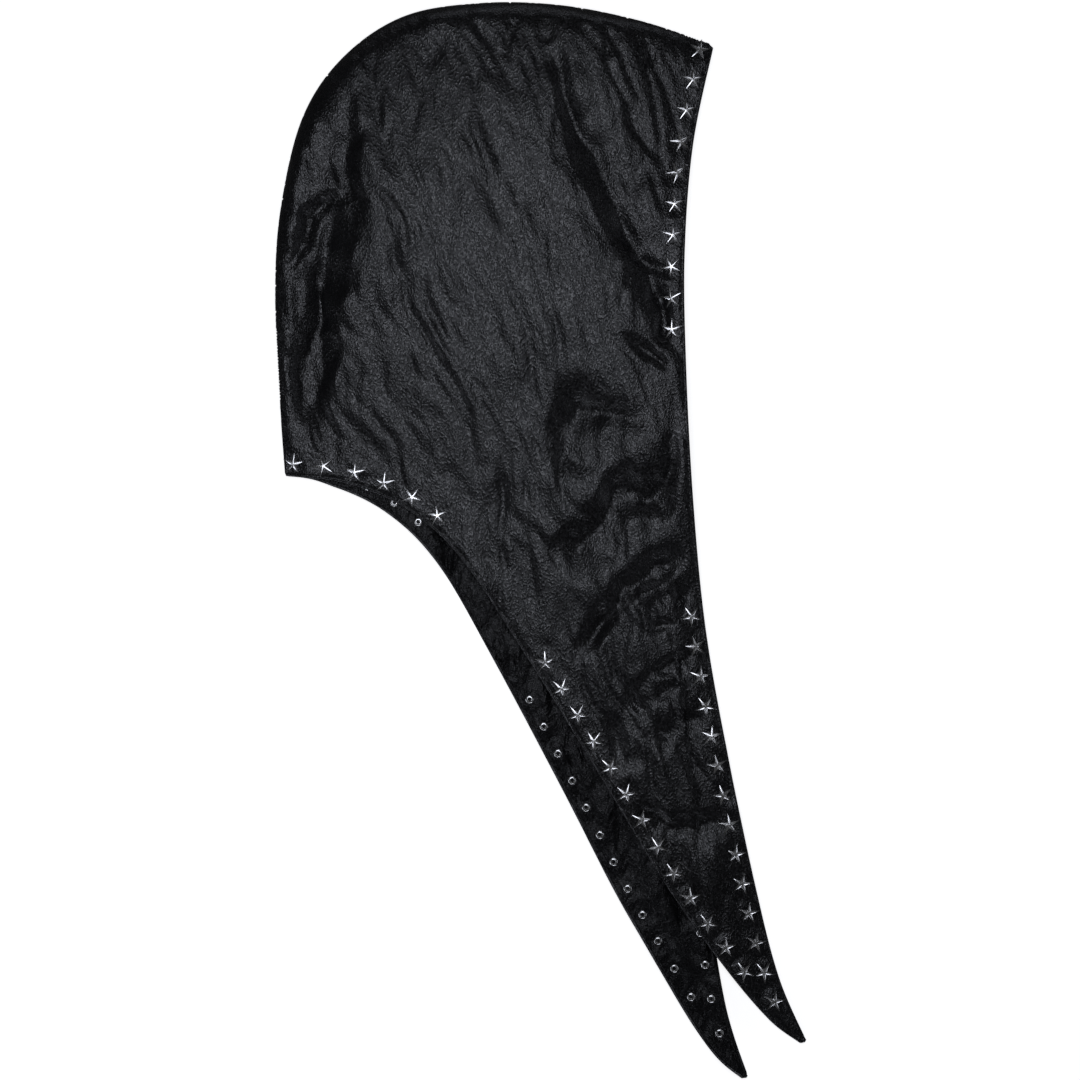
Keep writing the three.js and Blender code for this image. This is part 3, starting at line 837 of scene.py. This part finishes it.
def lathed(profile, sides):
    """A ring shape, drawn up from a circle by extruding it along a profile"""
    radius, height = profile[0]
    bpy.ops.mesh.primitive_circle_add(vertices=sides, radius=radius, location=(0, 0, height))
    piece = bpy.context.active_object
    bpy.ops.object.transform_apply(location=True, rotation=True, scale=True)
    bpy.ops.object.mode_set(mode="EDIT")
    bpy.ops.mesh.select_mode(type="EDGE")
    bpy.ops.mesh.select_all(action="SELECT")
    for next_radius, next_height in profile[1:]:
        bpy.ops.mesh.extrude_region_move(
            TRANSFORM_OT_translate={"value": (0, 0, next_height - height)}
        )
        share = next_radius / radius
        bpy.ops.transform.resize(value=(share, share, 1), center_override=(0, 0, 0))
        radius, height = next_radius, next_height
    bpy.ops.mesh.select_all(action="SELECT")
    bpy.ops.mesh.remove_doubles(threshold=MERGE_DISTANCE)
    bpy.ops.mesh.normals_make_consistent(inside=False)
    bpy.ops.object.mode_set(mode="OBJECT")
    return piece


def rivet_model():
    """The rolled end of a tube rivet: a low ring round an open hole"""
    radius = bpy.context.scene.hood_sizes.rivet_radius
    profile = [(out * radius, up * radius) for out, up in RIVET_SECTION]
    rivet = lathed(profile, RIVET_SIDES)
    bpy.ops.object.mode_set(mode="EDIT")
    bpy.ops.mesh.select_all(action="DESELECT")
    bpy.ops.mesh.select_non_manifold()
    bpy.ops.mesh.bridge_edge_loops()
    bpy.ops.mesh.select_all(action="SELECT")
    bpy.ops.mesh.normals_make_consistent(inside=False)
    bpy.ops.object.mode_set(mode="OBJECT")
    return rivet


def stitch_model():
    """One stitch of thread, lying along X with its ends drawn into the leather"""
    sizes = bpy.context.scene.hood_sizes
    bpy.ops.mesh.primitive_cylinder_add(
        vertices=STITCH_SIDES,
        radius=sizes.thread_radius,
        depth=sizes.stitch_length,
        rotation=(0, math.pi / 2, 0),
    )
    stitch = bpy.context.active_object
    bpy.ops.object.transform_apply(location=True, rotation=True, scale=True)
    bpy.ops.object.mode_set(mode="EDIT")
    for side in (-1, 1):
        bpy.ops.mesh.select_all(action="SELECT")
        bpy.ops.mesh.bisect(
            plane_co=(side * STITCH_BEND * sizes.stitch_length, 0, 0), plane_no=(1, 0, 0)
        )
    bpy.ops.object.mode_set(mode="OBJECT")
    for vertex in stitch.data.vertices:
        if abs(vertex.co.x) > STITCH_END * sizes.stitch_length:
            drop = STITCH_END_DROP * sizes.thread_radius
            vertex.co.y *= STITCH_END_FLATNESS
            vertex.co.z = STITCH_END_FLATNESS * vertex.co.z - drop
    return stitch


# Materials


def new_material(name):
    """An empty node material and its shader"""
    material = bpy.data.materials.new(name)
    material.use_nodes = True
    nodes = material.node_tree.nodes
    nodes.clear()
    output = nodes.new("ShaderNodeOutputMaterial")
    shader = nodes.new("ShaderNodeBsdfPrincipled")
    material.node_tree.links.new(shader.outputs["BSDF"], output.inputs["Surface"])
    return material, shader


def fill_inputs(material, node, inputs):
    """Sets a node's inputs, by name or as _number, to values or to other nodes' outputs"""
    for name, value in inputs.items():
        socket = node.inputs[int(name[1:])] if name[1:].isdigit() else node.inputs[name]
        if isinstance(value, bpy.types.NodeSocket):
            material.node_tree.links.new(value, socket)
        else:
            socket.default_value = value


def add_node(material, kind, settings=None, **inputs):
    """A node with its settings and its inputs"""
    node = material.node_tree.nodes.new(kind)
    for name, value in (settings or {}).items():
        setattr(node, name, value)
    fill_inputs(material, node, inputs)
    return node


def object_place(material):
    """Coordinates that stay on the piece"""
    return add_node(material, "ShaderNodeTexCoord").outputs["Object"]


def drawn_out(material, place, width):
    """Coordinates that lean as the creases do, on which a pattern's width is a share of its
    length"""
    turn = (0, 0, CREASE_LEAN)
    node = add_node(
        material, "ShaderNodeMapping", Vector=place, Rotation=turn, Scale=(1, width, 1)
    )
    return node.outputs["Vector"]


def noise_pattern(material, place, size, settings=None, **inputs):
    """Noise whose cells are a size across in millimetres"""
    scale = 1 / (size * MM)
    node = add_node(
        material, "ShaderNodeTexNoise", settings, Vector=place, Scale=scale, **inputs
    )
    return node.outputs["Fac"]


def bump(material, pattern, depth, strength=1.0, over=None):
    """The normals of a surface raised by a pattern, to a depth in millimetres, over another"""
    node = add_node(
        material, "ShaderNodeBump", Strength=strength, Distance=depth * MM, Height=pattern
    )
    if over is not None:
        material.node_tree.links.new(over, node.inputs["Normal"])
    return node.outputs["Normal"]


def spread(material, pattern, limits, values):
    """Runs from the first of two values to the second as a pattern runs between its limits"""
    low, high = limits
    first, second = values
    node = add_node(
        material, "ShaderNodeMapRange", Value=pattern, _1=low, _2=high, _3=first, _4=second
    )
    return node.outputs["Result"]


def washed_leather(material):
    """Sheep leather, dyed black through and tumbled in water: a satin grain that shows as
    pebbles under a millimetre, fine creases that all run down the hood, and broad patches
    rubbed slightly lighter, spread at random. The pebbles are drawn at 0.8 mm, a little coarser
    than the real ones."""
    colours = bpy.context.scene.hood_colours
    place = object_place(material)
    leaning = drawn_out(material, place, width=0.28)
    streaks = noise_pattern(material, leaning, 5.5, Detail=3.0, Roughness=0.5, Distortion=0.4)
    ridged = {"noise_type": "RIDGED_MULTIFRACTAL"}
    hairlines = noise_pattern(material, leaning, 3.2, ridged, Detail=3.0)
    fibres = drawn_out(material, place, width=0.6)
    grain = noise_pattern(material, fibres, 0.8, Detail=1.0, Roughness=0.6)
    pores = noise_pattern(material, place, 0.8, Detail=2.0)
    clouds = noise_pattern(material, place, 38, Detail=3.0)
    worn = add_node(material, "ShaderNodeValToRGB", Fac=clouds)
    worn.color_ramp.elements[0].position = 0.35
    worn.color_ramp.elements[1].position = 0.7
    tone = add_node(
        material, "ShaderNodeMix", {"data_type": "RGBA"},
        _0=worn.outputs["Color"],
        _6=tuple(colours.leather),
        _7=tuple(colours.leather_worn),
    ).outputs["Result"]
    creased = bump(material, streaks, depth=0.28)
    lined = bump(material, hairlines, depth=0.1, strength=0.5, over=creased)
    pebbled = bump(material, grain, depth=0.34, over=lined)
    return {
        "Base Color": tone,
        "Roughness": spread(material, grain, (0.38, 0.62), (0.42, 0.15)),
        "IOR": 1.5,
        "Normal": bump(material, pores, depth=0.08, strength=0.5, over=pebbled),
    }


def flesh_side(material):
    """The inside of the same leather: buffed and dyed, so duller, with a short nap over the
    same creases"""
    place = object_place(material)
    leaning = drawn_out(material, place, width=0.5)
    wrinkles = noise_pattern(material, leaning, 8, Detail=3.0, Roughness=0.55, Distortion=0.6)
    nap = noise_pattern(material, place, 0.9, Detail=2.0, Roughness=0.6)
    creased = bump(material, wrinkles, depth=3)
    return {
        "Base Color": tuple(bpy.context.scene.hood_colours.leather),
        "Roughness": spread(material, nap, (0.38, 0.62), (0.42, 0.22)),
        "Specular IOR Level": 0.28,
        "Normal": bump(material, nap, depth=0.3, over=creased),
    }


def plated_zinc(material):
    """Die-cast zinc with bright nickel plate: a sharp gloss, softened by fine handling marks"""
    marks = noise_pattern(material, object_place(material), 1.1, Detail=5.0, Roughness=0.7)
    return {
        "Base Color": tuple(bpy.context.scene.hood_colours.metal),
        "Metallic": 1.0,
        "Roughness": spread(material, marks, (0.3, 0.7), (0.18, 0.3)),
        "Normal": bump(material, marks, depth=0.08, strength=0.25),
    }


def polyester_thread(material):
    """Three-ply polyester thread, dyed black: a soft gloss and a fine twist"""
    twist = noise_pattern(material, object_place(material), 0.3, Detail=1.0)
    return {
        "Base Color": tuple(bpy.context.scene.hood_colours.thread),
        "Roughness": 0.5,
        "Normal": bump(material, twist, depth=0.06, strength=0.5),
    }


def white_acrylic(_material):
    """The table: a white acrylic sheet, softly lit from below"""
    colour = tuple(bpy.context.scene.hood_colours.table)
    return {
        "Base Color": colour,
        "Roughness": 0.6,
        "Emission Color": colour,
        "Emission Strength": 0.9,
    }


# What works out the inputs of each material's shader, by the material's name
MATERIALS = {
    "washed black leather": washed_leather,
    "buffed leather flesh side": flesh_side,
    "nickel-plated zinc": plated_zinc,
    "black polyester thread": polyester_thread,
    "white acrylic sheet": white_acrylic,
}


def give_material(piece, name):
    """Adds a material to a piece, and makes it when it is first asked for"""
    if name not in bpy.data.materials:
        material, shader = new_material(name)
        fill_inputs(material, shader, MATERIALS[name](material))
    piece.data.materials.append(bpy.data.materials[name])


# Operators, one for each piece or group of like pieces


class HOOD_OT_right_panel(bpy.types.Operator):
    """The upper panel, the right half of the hood with its tie"""

    bl_idname = "hood.right_panel"
    bl_label = "Right panel"

    def execute(self, context):
        leather_object("right", context.scene.hood_sizes.spacing / MM)
        return {"FINISHED"}


class HOOD_OT_left_panel(bpy.types.Operator):
    """The lower panel, the left half of the hood, with its tie swung back"""

    bl_idname = "hood.left_panel"
    bl_label = "Left panel"

    def execute(self, context):
        leather_object("left", context.scene.hood_sizes.lower_spacing / MM)
        return {"FINISHED"}


def leather_object(side, spacing):
    """A finished panel, laid over its half of the head, shaded and put on its body"""
    piece = leather_panel(side, spacing)
    finish_piece(piece, SHARP_LEATHER, f"{side}_panel")


class HOOD_OT_star_studs(bpy.types.Operator):
    """The rows of star studs on both panels"""

    bl_idname = "hood.star_studs"
    bl_label = "Star studs"

    def execute(self, context):
        star = star_model()
        sizes = context.scene.hood_sizes
        reach = sizes.star_radius / MM * STAR_SEAT
        lift = sizes.star_rim / MM - STAR_SUNK
        for side, panel in PANELS.items():
            for row, places in panel.studs.items():
                turns = np.radians(STUD_ROWS[row].turns[-len(places) :])
                frames = [
                    surface_frame(at, turn, panel.height, panel.facing, reach, lift) @ uneven(at)
                    for at, turn in zip(places, turns)
                ]
                piece = joined_copies(f"{row}_{side}_stars", star, frames)
                give_material(piece, "nickel-plated zinc")
                finish_piece(piece, SHARP_STAR, f"{row}_{side}")
        bpy.data.objects.remove(star)
        return {"FINISHED"}


def uneven(at):
    """A small tilt, because no two studs are set quite level"""
    x, y = (noise.noise((*(at / TILT_SIZE), seed)) for seed in TILT_SEEDS)
    return Matrix.Rotation(STAR_TILT * x, 4, "X") @ Matrix.Rotation(STAR_TILT * y, 4, "Y")


class HOOD_OT_rivets(bpy.types.Operator):
    """The rolled rivet ends on the inside of the leather, one behind each star"""

    bl_idname = "hood.rivets"
    bl_label = "Rivets"

    def execute(self, context):
        rivet = rivet_model()
        reach = context.scene.hood_sizes.rivet_radius / MM
        for side, panel in PANELS.items():
            inner = inner_height(panel)
            frames = [
                surface_frame(at, 0, inner, -panel.facing, reach, 0)
                for at in np.vstack(list(panel.studs.values()))
            ]
            piece = joined_copies(f"rivets_{side}", rivet, frames)
            give_material(piece, "nickel-plated zinc")
            finish_piece(piece, SHARP_RIVET)
        bpy.data.objects.remove(rivet)
        return {"FINISHED"}


def inner_height(panel):
    """What works out the height of a panel's inner face"""
    return lambda points: panel.height(points) - panel.facing * wall()


class HOOD_OT_stitching(bpy.types.Operator):
    """The line of stitches along the turned edges of both panels"""

    bl_idname = "hood.stitching"
    bl_label = "Stitching"

    def execute(self, context):
        stitch = stitch_model()
        for side, panel in PANELS.items():
            frames = stitch_frames(panel, FACE_EDGE, -1) + stitch_frames(panel, NECK_EDGE, 1)
            piece = joined_copies(f"stitching_{side}", stitch, frames)
            give_material(piece, "black polyester thread")
            finish_piece(piece, SHARP_STITCH)
        bpy.data.objects.remove(stitch)
        return {"FINISHED"}


def stitch_frames(panel, edge, inward):
    """The frames of the stitches beside one edge of a panel, on both of its faces"""
    sizes = bpy.context.scene.hood_sizes
    lowest = STITCH_REST * sizes.thread_radius / MM
    line = smooth_line(edge, FINE_SAMPLES)
    first, last = STITCH_MARGINS
    spots = np.arange(first, along(line)[-1] - last, sizes.stitch_pitch / MM)
    on_cut, way = stations(line, spots, inward * STITCH_INSET)
    ahead = panel.place(on_cut + way)
    behind = panel.place(on_cut - way)
    run = np.hypot(*(ahead - behind).T)
    headings = (ahead - behind) / run[:, None]
    slopes = (panel.height(ahead) - panel.height(behind)) / run
    places = panel.place(on_cut)
    levels = panel.height(places) + panel.facing * edge_profile(on_cut)
    frames = []
    for face in (1, -1):
        lift = STITCH_PROUD if face == panel.facing else -STITCH_PROUD - wall()
        for spot, level, slope, heading in zip(places, levels, slopes, headings):
            forward = Vector((*heading, slope)).normalized()
            up = Vector((0, 0, face))
            up = (up - up.dot(forward) * forward).normalized()
            seat = Matrix((forward, up.cross(forward), up)).transposed().to_4x4()
            seat.translation = Vector((*spot, max(level + panel.facing * lift, lowest))) * MM
            frames.append(seat)
    return frames


# The stage, in metres
TABLE_SIZE = 8
TABLE_LEVEL = -0.0002
CAMERA_HEIGHT = 2.4
CAMERA_REACH = 20
VIEW_WIDTH = 0.54
VIEW_LEVEL = 0.006
SENSOR_WIDTH = 36.0
WORLD_STRENGTH = 0.035

# Soft lights, each turned to look at its target
Light = namedtuple("Light", "place size radiance target colour")
LIGHTS = {
    "overhead softbox": Light(
        (-0.04, 0.14, 0.82), (0.4, 0.33), 3.6, (-0.04, 0.14, 0.0), "eff3ff"
    ),
    "left strip": Light((-0.72, -0.5, 0.22), (0.9, 0.16), 3.0, (0.0, 0.02, 0.0), "eef2ff"),
    "far strip": Light((0.2, 1.9, 0.45), (1.8, 0.4), 1.2, (0.0, 0.0, 0.0), "eef2ff"),
    "near strip": Light((0.3, -1.9, 0.38), (1.8, 0.4), 3.3, (0.0, 0.0, 0.0), "eef2ff"),
    "right strip": Light((1.9, 0.0, 0.45), (1.8, 0.35), 1.1, (0.0, 0.0, 0.0), "eef2ff"),
}


class HOOD_OT_stage(bpy.types.Operator):
    """The table, the studio lights and the camera, which looks straight down"""

    bl_idname = "hood.stage"
    bl_label = "Table, lights and camera"

    def execute(self, context):
        scene = context.scene
        bpy.ops.mesh.primitive_plane_add(size=TABLE_SIZE, location=(0, 0, TABLE_LEVEL))
        table = context.active_object
        table.name = "table"
        bpy.ops.object.transform_apply(location=True, rotation=True, scale=True)
        give_material(table, "white acrylic sheet")
        table.visible_glossy = False
        for name, light in LIGHTS.items():
            bpy.ops.object.light_add(type="AREA", location=light.place)
            lamp = context.active_object
            lamp.name = name
            lamp.data.shape = "RECTANGLE"
            lamp.data.color = linear(light.colour)[:3]
            lamp.data.size, lamp.data.size_y = light.size
            lamp.data.energy = light.radiance * math.pi * light.size[0] * light.size[1]
            way = Vector(light.target) - Vector(light.place)
            lamp.rotation_euler = way.to_track_quat("-Z", "Y").to_euler()
        bpy.ops.object.camera_add(location=(0, 0, CAMERA_HEIGHT), rotation=(0, 0, 0))
        camera = context.active_object
        camera.name = "camera"
        camera.data.sensor_width = SENSOR_WIDTH
        camera.data.lens = SENSOR_WIDTH * (CAMERA_HEIGHT - VIEW_LEVEL) / VIEW_WIDTH
        camera.data.clip_end = CAMERA_REACH
        scene.camera = camera
        scene.world = bpy.data.worlds.new("studio")
        scene.world.use_nodes = True
        background = scene.world.node_tree.nodes["Background"]
        background.inputs["Color"].default_value = (1, 1, 1, 1)
        background.inputs["Strength"].default_value = WORLD_STRENGTH
        scene.view_settings.view_transform = "Standard"
        return {"FINISHED"}


OPERATORS = (
    HOOD_OT_right_panel,
    HOOD_OT_left_panel,
    HOOD_OT_star_studs,
    HOOD_OT_rivets,
    HOOD_OT_stitching,
    HOOD_OT_stage,
)


class HOOD_PT_panel(bpy.types.Panel):
    """Builds the hood piece by piece"""

    bl_idname = "HOOD_PT_panel"
    bl_label = "Studded leather hood"
    bl_space_type = "VIEW_3D"
    bl_region_type = "UI"
    bl_category = "Hood"

    def draw(self, context):
        scene = context.scene
        for group in (scene.hood_sizes, scene.hood_colours):
            for name in group.__annotations__:
                self.layout.prop(group, name)
        for operator in OPERATORS:
            self.layout.operator(operator.bl_idname)


CLASSES = (HoodSizes, HoodColours, *OPERATORS, HOOD_PT_panel)


def register():
    for item in CLASSES:
        bpy.utils.register_class(item)
    bpy.types.Scene.hood_sizes = bpy.props.PointerProperty(type=HoodSizes)
    bpy.types.Scene.hood_colours = bpy.props.PointerProperty(type=HoodColours)


def unregister():
    del bpy.types.Scene.hood_colours
    del bpy.types.Scene.hood_sizes
    for item in reversed(CLASSES):
        bpy.utils.unregister_class(item)


def main():
    """Builds the hood and its stage"""
    register()
    for operator in OPERATORS:
        group, name = operator.bl_idname.split(".")
        getattr(getattr(bpy.ops, group), name)()


if __name__ == "__main__":
    main()
